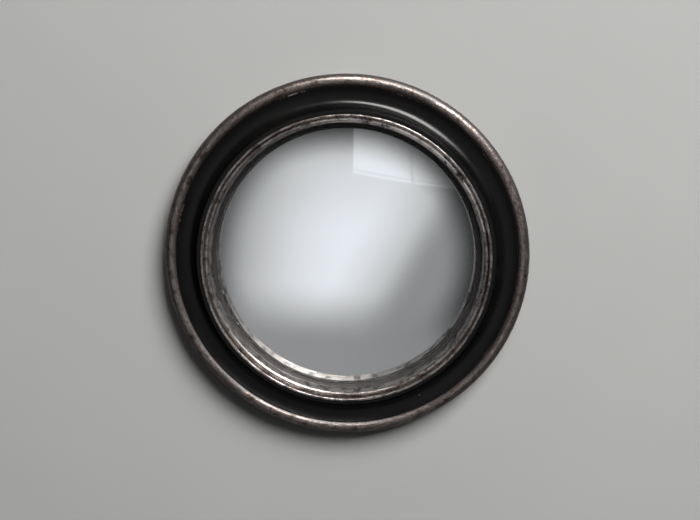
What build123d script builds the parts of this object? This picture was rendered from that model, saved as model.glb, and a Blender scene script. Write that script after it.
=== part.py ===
from build123d import *
import os
from math import sin, cos, radians, sqrt

# Round convex wall mirror: a domed, silvered glass in a turned wooden ring with
# silver-leafed beads. Millimetres. The mirror faces -Y, +Z is up, and the wall is
# the plane Y = 0 with the origin at the centre of the ring on that wall.
# Every turned piece is drawn as a half section (x = radius, y = -distance from the
# wall) and revolved about the Y axis.

os.makedirs("parts", exist_ok=True)

# ---------------------------------------------------------------- driving sizes
stand_off = 4.0            # bumper thickness: wall to the back of the ring

# wooden ring
ring_back_r = 116.0        # outer radius of the ring's back
board_rebate_r = 95.0      # rebate for the backing board
board_rebate_d = 6.8       # its shelf, from the wall
glass_rebate_r = 91.7      # rebate for the glass
slip_seat_r = 95.1         # seat of the inner slip
slip_seat_d = 14.8
bead_seat_r = 112.6        # seat of the outer bead
bead_seat_d = 9.8

# cove on the ring's face
cove_floor_r = 104.8
cove_floor_d = 13.2
cove_out_rho = 17.0        # gentle outer side
cove_lip_r = 112.1
cove_in_rho = 6.5          # inner side, up to cove_in_deg
cove_in_deg = 60.0
cove_neck_rho = 2.0        # tightens into the wall, up to cove_wall_deg
cove_wall_deg = 78.0
cove_top_d = 23.1
ledge_d = 23.5

# outer bead
bead_r = 115.7
bead_d = 12.1
bead_rho = 4.3
bead_cut_r = 112.7         # where the bead is planed off against the cove's lip

# inner slip: ridge, quirk, bead, hollow and lip
ridge_out_r = 95.0
ridge_in_r = 93.3
ridge_d = 24.8
sight_bead_r = 91.6
sight_bead_d = 19.6
sight_bead_rho = 2.0
quirk_half = 1.5           # where the quirk meets the bead, from its centre
hollow_foot_r = 88.6       # foot of the steep side under the bead
hollow_foot_d = 15.3
lip_in_r = 87.9            # where the lip starts its slope to the sight edge
lip_in_d = 14.66
sight_r = 86.0
slip_back_d = 13.5

# domed glass
glass_r = 91.0
glass_R = 281.5            # radius of the front surface
glass_t = 2.0
glass_apex_d = 26.7
silver_t = 0.3
silver_r = 90.6

# backing board
board_r = 94.7
board_t = 2.6

# turn buttons
button_pivot_r = 101.0
button_t = 1.0
button_gap = 0.1           # above the ring's back
button_reach = 12.0        # pivot to the centre of the round tip
button_pivot_half = 4.4
button_tip_half = 3.0
button_hole_r = 1.9
button_angles = (45, 135, 225, 315)
screw_shank_r = 1.85
screw_core_r = 1.5
screw_head_r = 3.1
screw_end_d = 12.0

# hanger
ring_wire_r = 1.0
ring_half_w = 7.0          # centreline
ring_side = 2.4            # straight height before the bow
ring_corner = 2.2
ring_bar_z = 104.5
strap_t = 0.8
strap_half_w = 4.4
strap_foot_z = 96.6
loop_in_r = 1.06
loop_out_r = loop_in_r + strap_t
ring_bar_d = stand_off - loop_out_r
hanger_screw_z = 99.9
hanger_head_r = 2.6
pocket_w = 8.8
pocket_h = 6.0
pocket_z = 109.3
pocket_depth = 3.9

# pins
pin_r = 0.6
pin_head_r = 1.1
pin_head_t = 0.5
slip_pin_ring = 93.4
slip_pin_end_d = 17.9
bead_pin_ring = 114.4
bead_pin_end_d = 13.6
pin_angles = tuple(22.5 + 45 * i for i in range(8))

# bumpers
bumper_r = 5.0
bumper_ring = 107.0
bumper_angles = (15, 165, 240, 300)


def at(radius, angle):
    """X and Z of a point on a circle round the mirror's axis."""
    return radius * cos(radians(angle)), radius * sin(radians(angle))


def back_plane(radius, angle, depth):
    """Plane parallel to the wall at a place on the ring; its x runs towards the
    mirror's axis and its normal towards the wall."""
    px, pz = at(radius, angle)
    return Plane(origin=(px, -depth, pz),
                 x_dir=(-cos(radians(angle)), 0, -sin(radians(angle))),
                 z_dir=(0, 1, 0))


def dome_d(r, big_r):
    """Distance from the wall of a sphere concentric with the glass."""
    return glass_apex_d - glass_R + sqrt(big_r * big_r - r * r)


# stepped pin holes and pins: ring radius, head face and tip (distances from the wall)
slip_pin_row = (slip_pin_ring, board_rebate_d, slip_pin_end_d)
bead_pin_row = (bead_pin_ring, stand_off, bead_pin_end_d)


# ------------------------------------------------------------------ frame_ring
a1 = radians(cove_in_deg)
a2 = radians(cove_wall_deg)
cove_c1 = (cove_floor_r, cove_floor_d + cove_in_rho)
n1 = (cove_c1[0] - cove_in_rho * sin(a1), cove_c1[1] - cove_in_rho * cos(a1))
n1_mid = (cove_c1[0] - cove_in_rho * sin(a1 / 2), cove_c1[1] - cove_in_rho * cos(a1 / 2))
cove_c2 = (n1[0] + cove_neck_rho * sin(a1), n1[1] + cove_neck_rho * cos(a1))
am = (a1 + a2) / 2
n2 = (cove_c2[0] - cove_neck_rho * sin(a2), cove_c2[1] - cove_neck_rho * cos(a2))
n2_mid = (cove_c2[0] - cove_neck_rho * sin(am), cove_c2[1] - cove_neck_rho * cos(am))
wall_top = (n2[0] - (cove_top_d - n2[1]) * cos(a2) / sin(a2), cove_top_d)
lip_dx = cove_lip_r - cove_floor_r
cove_lip = (cove_lip_r, cove_floor_d + cove_out_rho - sqrt(cove_out_rho ** 2 - lip_dx ** 2))
lip_mid = (cove_floor_r + lip_dx / 2,
           cove_floor_d + cove_out_rho - sqrt(cove_out_rho ** 2 - (lip_dx / 2) ** 2))

with BuildPart() as frame_ring:
    with BuildSketch(Plane.XY) as ring_section:
        with BuildLine():
            Polyline((board_rebate_r, -stand_off),
                     (ring_back_r - 0.8, -stand_off),
                     (ring_back_r, -stand_off - 0.8),
                     (ring_back_r, -bead_seat_d),
                     (bead_seat_r, -bead_seat_d),
                     (bead_seat_r, -cove_lip[1] + 0.45),
                     (cove_lip[0], -cove_lip[1]))
            ThreePointArc((cove_lip[0], -cove_lip[1]),
                          (lip_mid[0], -lip_mid[1]),
                          (cove_floor_r, -cove_floor_d))
            ThreePointArc((cove_floor_r, -cove_floor_d),
                          (n1_mid[0], -n1_mid[1]),
                          (n1[0], -n1[1]))
            ThreePointArc((n1[0], -n1[1]), (n2_mid[0], -n2_mid[1]), (n2[0], -n2[1]))
            Polyline((n2[0], -n2[1]),
                     (wall_top[0], -wall_top[1]),
                     (wall_top[0] - 0.35, -ledge_d),
                     (slip_seat_r, -ledge_d),
                     (slip_seat_r, -slip_seat_d),
                     (glass_rebate_r, -slip_seat_d),
                     (glass_rebate_r, -board_rebate_d),
                     (board_rebate_r, -board_rebate_d),
                     (board_rebate_r, -stand_off))
        make_face()
    revolve(axis=Axis.Y, revolution_arc=360)
    # pocket behind the hanging ring, for the head of the wall hook
    with BuildSketch(Plane(origin=(0, -stand_off, pocket_z), x_dir=(1, 0, 0), z_dir=(0, 1, 0))):
        RectangleRounded(pocket_w, pocket_h, 1.6)
    extrude(amount=-pocket_depth, mode=Mode.SUBTRACT)
    # pilot holes of the turn-button screws and of the hanger screw
    for a in button_angles:
        with BuildSketch(back_plane(button_pivot_r, a, stand_off)):
            Circle(screw_core_r + 0.05)
        extrude(amount=-(screw_end_d - stand_off + 0.3), mode=Mode.SUBTRACT)
    with BuildSketch(back_plane(hanger_screw_z, 90, stand_off)):
        Circle(screw_core_r + 0.05)
    extrude(amount=-(screw_end_d - stand_off + 0.3), mode=Mode.SUBTRACT)
    # stepped holes of both rows of panel pins
    for row_r, head_d, end_d in (slip_pin_row, bead_pin_row):
        for a in pin_angles:
            with BuildSketch(back_plane(row_r, a, head_d)):
                Circle(pin_head_r + 0.05)
            extrude(amount=-(pin_head_t + 0.05), mode=Mode.SUBTRACT)
            with BuildSketch(back_plane(row_r, a, head_d)):
                Circle(pin_r + 0.05)
            extrude(amount=-(end_d - head_d + 0.3), mode=Mode.SUBTRACT)
frame_ring.part.label = "frame_ring"
export_step(frame_ring.part, "parts/frame_ring.step")

# ------------------------------------------------------------------ outer_bead
with BuildPart() as outer_bead:
    with BuildSketch(Plane.XY):
        with Locations((bead_r, -bead_d)):
            Circle(bead_rho)
        with Locations((bead_cut_r - 3.0, -bead_d)):
            Rectangle(6.0, 14.0, mode=Mode.SUBTRACT)
        # flat underside where the bead sits on the ring
        with Locations((ring_back_r - 4.0 + 0.1, -bead_seat_d + 2.0)):
            Rectangle(8.0, 4.0, mode=Mode.SUBTRACT)
    revolve(axis=Axis.Y, revolution_arc=360)
    for a in pin_angles:
        with BuildSketch(back_plane(bead_pin_ring, a, bead_seat_d)):
            Circle(pin_r + 0.05)
        extrude(amount=-(bead_pin_end_d - bead_seat_d + 0.3), mode=Mode.SUBTRACT)
outer_bead.part.label = "outer_bead"
export_step(outer_bead.part, "parts/outer_bead.step")

# ------------------------------------------------------------------ inner_slip
q_d = sight_bead_d + sqrt(sight_bead_rho ** 2 - quirk_half ** 2)
with BuildPart() as inner_slip:
    with BuildSketch(Plane.XY):
        with BuildLine():
            Polyline((sight_r, -slip_back_d - 0.5),
                     (sight_r, -slip_back_d - 0.2),
                     (sight_r + 0.3, -slip_back_d),
                     (glass_rebate_r - 0.2, -slip_back_d),
                     (glass_rebate_r - 0.2, -slip_seat_d),
                     (ridge_out_r, -slip_seat_d),
                     (ridge_out_r, -ridge_d + 0.4))
            ThreePointArc((ridge_out_r, -ridge_d + 0.4),
                          (ridge_out_r - 0.12, -ridge_d + 0.12),
                          (ridge_out_r - 0.4, -ridge_d))
            Line((ridge_out_r - 0.4, -ridge_d), (ridge_in_r + 0.5, -ridge_d))
            ThreePointArc((ridge_in_r + 0.5, -ridge_d),
                          (ridge_in_r + 0.15, -ridge_d + 0.15),
                          (ridge_in_r, -ridge_d + 0.5))
            Line((ridge_in_r, -ridge_d + 0.5), (sight_bead_r + quirk_half, -q_d))
            ThreePointArc((sight_bead_r + quirk_half, -q_d),
                          (sight_bead_r, -sight_bead_d - sight_bead_rho),
                          (sight_bead_r - quirk_half, -q_d))
            Polyline((sight_bead_r - quirk_half, -q_d),
                     (sight_bead_r - quirk_half - 0.3, -q_d + 0.45),
                     (hollow_foot_r, -hollow_foot_d))
            ThreePointArc((hollow_foot_r, -hollow_foot_d),
                          (hollow_foot_r - 0.26, -hollow_foot_d + 0.41),
                          (lip_in_r, -lip_in_d))
            Line((lip_in_r, -lip_in_d), (sight_r, -slip_back_d - 0.5))
        make_face()
    revolve(axis=Axis.Y, revolution_arc=360)
    for a in pin_angles:
        with BuildSketch(back_plane(slip_pin_ring, a, slip_seat_d)):
            Circle(pin_r + 0.05)
        extrude(amount=-(slip_pin_end_d - slip_seat_d + 0.3), mode=Mode.SUBTRACT)
inner_slip.part.label = "inner_slip"
export_step(inner_slip.part, "parts/inner_slip.step")

# ------------------------------------------------------- domed glass and silver
glass_Rb = glass_R - glass_t
with BuildPart() as mirror_glass:
    with BuildSketch(Plane.XY):
        with BuildLine():
            ThreePointArc((0, -glass_apex_d),
                          (glass_r / 2, -dome_d(glass_r / 2, glass_R)),
                          (glass_r, -dome_d(glass_r, glass_R)))
            Line((glass_r, -dome_d(glass_r, glass_R)), (glass_r, -dome_d(glass_r, glass_Rb)))
            ThreePointArc((glass_r, -dome_d(glass_r, glass_Rb)),
                          (glass_r / 2, -dome_d(glass_r / 2, glass_Rb)),
                          (0, -dome_d(0, glass_Rb)))
            Line((0, -dome_d(0, glass_Rb)), (0, -glass_apex_d))
        make_face()
    revolve(axis=Axis.Y, revolution_arc=360)
mirror_glass.part.label = "mirror_glass"
export_step(mirror_glass.part, "parts/mirror_glass.step")

film_front = glass_Rb - 0.03
film_back = film_front - silver_t
with BuildPart() as mirror_silvering:
    with BuildSketch(Plane.XY):
        with BuildLine():
            ThreePointArc((0, -dome_d(0, film_front)),
                          (silver_r / 2, -dome_d(silver_r / 2, film_front)),
                          (silver_r, -dome_d(silver_r, film_front)))
            Line((silver_r, -dome_d(silver_r, film_front)), (silver_r, -dome_d(silver_r, film_back)))
            ThreePointArc((silver_r, -dome_d(silver_r, film_back)),
                          (silver_r / 2, -dome_d(silver_r / 2, film_back)),
                          (0, -dome_d(0, film_back)))
            Line((0, -dome_d(0, film_back)), (0, -dome_d(0, film_front)))
        make_face()
    revolve(axis=Axis.Y, revolution_arc=360)
mirror_silvering.part.label = "mirror_silvering"
export_step(mirror_silvering.part, "parts/mirror_silvering.step")

# felt strip between the slip's back and the glass, wedge shaped
with BuildPart() as glass_felt:
    with BuildSketch(Plane.XY):
        with BuildLine():
            Polyline((87.0, -slip_back_d),
                     (91.2, -slip_back_d),
                     (91.2, -dome_d(91.0, glass_R) - 0.05),
                     (87.0, -dome_d(87.0, glass_R) - 0.05),
                     (87.0, -slip_back_d))
        make_face()
    revolve(axis=Axis.Y, revolution_arc=360)
glass_felt.part.label = "glass_felt"
export_step(glass_felt.part, "parts/glass_felt.step")

# soft packing between the silvered back and the board, wedge shaped
with BuildPart() as packing_ring:
    with BuildSketch(Plane.XY):
        with BuildLine():
            Polyline((86.6, -board_rebate_d),
                     (91.2, -board_rebate_d),
                     (91.2, -dome_d(91.2, film_back) + 0.06),
                     (86.6, -dome_d(86.6, film_back) + 0.06),
                     (86.6, -board_rebate_d))
        make_face()
    revolve(axis=Axis.Y, revolution_arc=360)
packing_ring.part.label = "packing_ring"
export_step(packing_ring.part, "parts/packing_ring.step")

# hardboard disc in its rebate, with softened edges
with BuildPart() as backing_board:
    with BuildSketch(Plane(origin=(0, -board_rebate_d, 0), x_dir=(1, 0, 0), z_dir=(0, 1, 0))):
        Circle(board_r)
    extrude(amount=board_t)
    chamfer(backing_board.edges().filter_by(GeomType.CIRCLE).group_by(Axis.Y)[-1], 0.3)
backing_board.part.label = "backing_board"
export_step(backing_board.part, "parts/backing_board.step")

# ---------------------------------------------------------------- turn buttons
button_face_d = stand_off - button_gap
for i, a in enumerate(button_angles):
    with BuildPart() as turn_button:
        with BuildSketch(back_plane(button_pivot_r, a, button_face_d)):
            with BuildLine():
                # tapered tongue: two round ends joined by their outer tangents
                k = (button_pivot_half - button_tip_half) / button_reach
                s = sqrt(1 - k * k)
                p1 = (button_pivot_half * k, button_pivot_half * s)
                p2 = (button_reach + button_tip_half * k, button_tip_half * s)
                Line(p1, p2)
                ThreePointArc(p2, (button_reach + button_tip_half, 0), (p2[0], -p2[1]))
                Line((p2[0], -p2[1]), (p1[0], -p1[1]))
                ThreePointArc((p1[0], -p1[1]), (-button_pivot_half, 0), p1)
            make_face()
            Circle(button_hole_r, mode=Mode.SUBTRACT)
        extrude(amount=button_t)
        # pressed rib along the tongue for the fingertip
        with BuildSketch(back_plane(button_pivot_r, a, button_face_d - button_t)):
            with Locations((button_reach - 1.4, 0)):
                SlotOverall(5.6, 1.7)
        extrude(amount=0.45)
    turn_button.part.label = f"turn_button_{i + 1}"
    export_step(turn_button.part, f"parts/turn_button_{i + 1}.step")


def screw_points(head_under_d, head_r, head_h, shank_r, tip_d):
    """Half section of a pan-head screw: x is the radius and y runs into the wood
    from the back of the ring."""
    u = -(stand_off - head_under_d)
    return [(0, u - head_h),
            (head_r * 0.62, u - head_h),
            (head_r, u - head_h * 0.35),
            (head_r, u),
            (shank_r, u),
            (shank_r, -0.02),
            (screw_core_r, -0.02),
            (screw_core_r, tip_d - stand_off - 1.6),
            (0.3, tip_d - stand_off),
            (0, tip_d - stand_off),
            (0, u - head_h)]


def screw_axis_plane(radius, angle):
    """Plane through a screw's axis: x across the screw, y into the wood."""
    px, pz = at(radius, angle)
    return Plane(origin=(px, -stand_off, pz), x_dir=(1, 0, 0), z_dir=(0, 0, -1))


# --------------------------------------------------- screws of the turn buttons
head_under = button_face_d - button_t - 0.05
with BuildPart() as turn_button_screws:
    for a in button_angles:
        px, pz = at(button_pivot_r, a)
        with BuildSketch(screw_axis_plane(button_pivot_r, a)):
            with BuildLine():
                Polyline(screw_points(head_under, screw_head_r, 1.35, screw_shank_r, screw_end_d))
            make_face()
        revolve(axis=Axis((px, 0, pz), (0, 1, 0)), revolution_arc=360)
        with BuildSketch(back_plane(button_pivot_r, a, head_under - 1.35)):
            Rectangle(4.6, 0.75, rotation=35 + a)
            Rectangle(0.75, 4.6, rotation=35 + a)
        extrude(amount=-0.65, mode=Mode.SUBTRACT)
turn_button_screws.part.label = "turn_button_screws"
export_step(turn_button_screws.part, "parts/turn_button_screws.step")

# ---------------------------------------------------------------- hanger strap
# folded strip: two layers on the ring's back and an eye round the D-ring's bar
with BuildPart() as hanger_strap:
    with BuildSketch(Plane(origin=(-strap_half_w, 0, 0), x_dir=(0, 1, 0), z_dir=(1, 0, 0))):
        with Locations((-ring_bar_d, ring_bar_z)):
            Circle(loop_out_r)
        with Locations((-(stand_off - strap_t), (strap_foot_z + ring_bar_z) / 2)):
            Rectangle(2 * strap_t, ring_bar_z - strap_foot_z)
        with Locations((-ring_bar_d, ring_bar_z)):
            Circle(loop_in_r, mode=Mode.SUBTRACT)
    extrude(amount=2 * strap_half_w)
    fillet(hanger_strap.edges().filter_by(Axis.Y).group_by(Axis.Z)[0], 2.6)
    with BuildSketch(back_plane(hanger_screw_z, 90, stand_off + 1)):
        Circle(screw_shank_r + 0.1)
    extrude(amount=4, mode=Mode.SUBTRACT)
hanger_strap.part.label = "hanger_strap"
export_step(hanger_strap.part, "parts/hanger_strap.step")

strap_back_d = stand_off - 2 * strap_t
with BuildPart() as hanger_screw:
    with BuildSketch(screw_axis_plane(hanger_screw_z, 90)):
        with BuildLine():
            Polyline(screw_points(strap_back_d, hanger_head_r, 1.2, screw_shank_r, screw_end_d))
        make_face()
    revolve(axis=Axis((0, 0, hanger_screw_z), (0, 1, 0)), revolution_arc=360)
    with BuildSketch(back_plane(hanger_screw_z, 90, strap_back_d - 1.2)):
        Rectangle(3.8, 0.7, rotation=20)
        Rectangle(0.7, 3.8, rotation=20)
    extrude(amount=-0.6, mode=Mode.SUBTRACT)
hanger_screw.part.label = "hanger_screw"
export_step(hanger_screw.part, "parts/hanger_screw.step")

# ----------------------------------------------------------------- hanger ring
zb = ring_bar_z
zs = ring_bar_z + ring_side
c = ring_corner
w = ring_half_w
with BuildPart() as hanger_ring:
    with BuildLine(Plane(origin=(0, -ring_bar_d, 0), x_dir=(1, 0, 0), z_dir=(0, -1, 0))):
        Line((0, zb), (w - c, zb))
        ThreePointArc((w - c, zb), (w - c + c * sin(radians(45)), zb + c - c * cos(radians(45))), (w, zb + c))
        Line((w, zb + c), (w, zs))
        ThreePointArc((w, zs), (0, zs + w), (-w, zs))
        Line((-w, zs), (-w, zb + c))
        ThreePointArc((-w, zb + c), (-(w - c + c * sin(radians(45))), zb + c - c * cos(radians(45))), (-(w - c), zb))
        Line((-(w - c), zb), (0, zb))
    with BuildSketch(Plane(origin=(0, -ring_bar_d, zb), x_dir=(0, 1, 0), z_dir=(1, 0, 0))):
        Circle(ring_wire_r)
    sweep()
hanger_ring.part.label = "hanger_ring"
export_step(hanger_ring.part, "parts/hanger_ring.step")


# ------------------------------------------------------------------------ pins
with BuildPart() as slip_pins:
    for a in pin_angles:
        with BuildSketch(back_plane(slip_pin_ring, a, board_rebate_d)):
            Circle(pin_head_r)
        extrude(amount=-pin_head_t)
        with BuildSketch(back_plane(slip_pin_ring, a, board_rebate_d + pin_head_t)):
            Circle(pin_r)
        extrude(amount=-(slip_pin_end_d - board_rebate_d - pin_head_t))
slip_pins.part.label = "slip_pins"
export_step(slip_pins.part, "parts/slip_pins.step")

with BuildPart() as bead_pins:
    for a in pin_angles:
        with BuildSketch(back_plane(bead_pin_ring, a, stand_off)):
            Circle(pin_head_r)
        extrude(amount=-pin_head_t)
        with BuildSketch(back_plane(bead_pin_ring, a, stand_off + pin_head_t)):
            Circle(pin_r)
        extrude(amount=-(bead_pin_end_d - stand_off - pin_head_t))
bead_pins.part.label = "bead_pins"
export_step(bead_pins.part, "parts/bead_pins.step")

# --------------------------------------------------------------- wall bumpers
with BuildPart() as wall_bumpers:
    for a in bumper_angles:
        with BuildSketch(back_plane(bumper_ring, a, stand_off)):
            Circle(bumper_r)
        extrude(amount=stand_off)
    fillet(wall_bumpers.edges().filter_by(GeomType.CIRCLE).group_by(Axis.Y)[-1], 0.7)
wall_bumpers.part.label = "wall_bumpers"
export_step(wall_bumpers.part, "parts/wall_bumpers.step")
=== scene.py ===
import math
import random
import bpy
import bmesh
import numpy as np
from mathutils import Vector, Matrix


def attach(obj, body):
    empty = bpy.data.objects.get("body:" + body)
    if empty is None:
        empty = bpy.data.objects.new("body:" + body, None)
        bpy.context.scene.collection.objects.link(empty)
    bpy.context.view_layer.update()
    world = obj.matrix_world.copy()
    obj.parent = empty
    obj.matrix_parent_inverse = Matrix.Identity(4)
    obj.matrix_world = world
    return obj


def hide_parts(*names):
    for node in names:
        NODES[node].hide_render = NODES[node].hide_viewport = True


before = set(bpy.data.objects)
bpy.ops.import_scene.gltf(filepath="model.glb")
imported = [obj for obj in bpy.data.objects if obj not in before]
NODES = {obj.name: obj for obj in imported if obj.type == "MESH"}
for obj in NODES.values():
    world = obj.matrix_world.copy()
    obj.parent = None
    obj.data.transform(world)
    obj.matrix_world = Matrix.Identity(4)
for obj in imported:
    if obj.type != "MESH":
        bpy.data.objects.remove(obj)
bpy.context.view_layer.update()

SC = bpy.context.scene
rng = np.random.default_rng(7)
random.seed(7)
MM = 0.001

# =====================================================================
# sizes in millimetres, as in the CAD model (distances from the wall)
# =====================================================================
STAND = 4.0
GLASS_R, GLASS_T, GLASS_APEX, GLASS_RIM = 281.5, 2.0, 26.7, 91.0


def dome_d(r, R):
    return GLASS_APEX - GLASS_R + math.sqrt(R * R - r * r)


# =====================================================================
# mesh helpers
# =====================================================================
def new_object(name, verts, faces, smooth=True, sharp=math.radians(32)):
    me = bpy.data.meshes.new(name)
    me.from_pydata([tuple(v) for v in verts], [], faces)
    me.validate()
    bm = bmesh.new()
    bm.from_mesh(me)
    bmesh.ops.recalc_face_normals(bm, faces=bm.faces)
    bm.to_mesh(me)
    bm.free()
    if smooth:
        me.polygons.foreach_set("use_smooth", [True] * len(me.polygons))
        me.set_sharp_from_angle(angle=sharp)
    me.update()
    ob = bpy.data.objects.new(name, me)
    SC.collection.objects.link(ob)
    return ob


def arc(cx, cy, rho, a0, a1, n):
    """Points on an arc; angles in degrees from +r, turning towards +d."""
    return [(cx + rho * math.cos(math.radians(a0 + (a1 - a0) * i / n)),
             cy + rho * math.sin(math.radians(a0 + (a1 - a0) * i / n))) for i in range(n + 1)]


def densify(pts, step):
    """Closed profile with no run longer than step."""
    out = []
    n = len(pts)
    for i in range(n):
        a, b = pts[i], pts[(i + 1) % n]
        L = math.hypot(b[0] - a[0], b[1] - a[1])
        k = max(1, int(math.ceil(L / step)))
        for j in range(k):
            out.append((a[0] + (b[0] - a[0]) * j / k, a[1] + (b[1] - a[1]) * j / k))
    return out


def clean(pts, eps=1e-4):
    out = []
    for p in pts:
        if not out or math.hypot(p[0] - out[-1][0], p[1] - out[-1][1]) > eps:
            out.append(p)
    if math.hypot(out[0][0] - out[-1][0], out[0][1] - out[-1][1]) < eps:
        out.pop()
    return out


def value_noise_ring(theta, octaves, seed, amp):
    """Smooth periodic noise round the ring, as a sum of harmonics."""
    g = np.random.default_rng(seed)
    out = np.zeros_like(theta)
    for k in octaves:
        out += g.normal() * np.cos(k * theta + g.uniform(0, 2 * np.pi)) / math.sqrt(len(octaves))
    return out * amp


def lathe(name, prof, seg=512, wobble=None, sharp=32):
    """Solid of revolution about the row's Y axis. prof is a closed list of
    (radius, distance from the wall) in millimetres; wobble(theta, r, d) gives
    (dr, dd) in millimetres for the uneven surface of a hand-turned piece."""
    prof = clean(prof)
    n = len(prof)
    th = np.arange(seg) * 2 * np.pi / seg
    R = np.array([p[0] for p in prof])[None, :].repeat(seg, 0)
    D = np.array([p[1] for p in prof])[None, :].repeat(seg, 0)
    T = th[:, None].repeat(n, 1)
    if wobble:
        dr, dd = wobble(T, R, D)
        R, D = R + dr, D + dd
    co = np.stack([R * np.cos(T) * MM, -D * MM, R * np.sin(T) * MM], -1).reshape(-1, 3)
    faces = []
    for i in range(seg):
        i2 = (i + 1) % seg
        for j in range(n):
            j2 = (j + 1) % n
            faces.append((i * n + j, i2 * n + j, i2 * n + j2, i * n + j2))
    return new_object(name, co, faces, sharp=math.radians(sharp))


def lathe_disc(name, front, back, seg=384, sharp=32):
    """Solid disc: front and back are lists of (r, d) from the axis outwards;
    both start at r = 0."""
    th = np.arange(seg) * 2 * np.pi / seg
    verts = [(0, -front[0][1] * MM, 0)]
    prof = list(front[1:]) + list(reversed(back[1:]))
    n = len(prof)
    for t in th:
        c, s = math.cos(t), math.sin(t)
        verts.extend((r * c * MM, -d * MM, r * s * MM) for r, d in prof)
    verts.append((0, -back[0][1] * MM, 0))
    last = len(verts) - 1
    faces = []
    for i in range(seg):
        i2 = (i + 1) % seg
        a, b = 1 + i * n, 1 + i2 * n
        faces.append((0, a, b))
        for j in range(n - 1):
            faces.append((a + j, a + j + 1, b + j + 1, b + j))
        faces.append((a + n - 1, last, b + n - 1))
    return new_object(name, verts, faces, sharp=math.radians(sharp))


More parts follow.
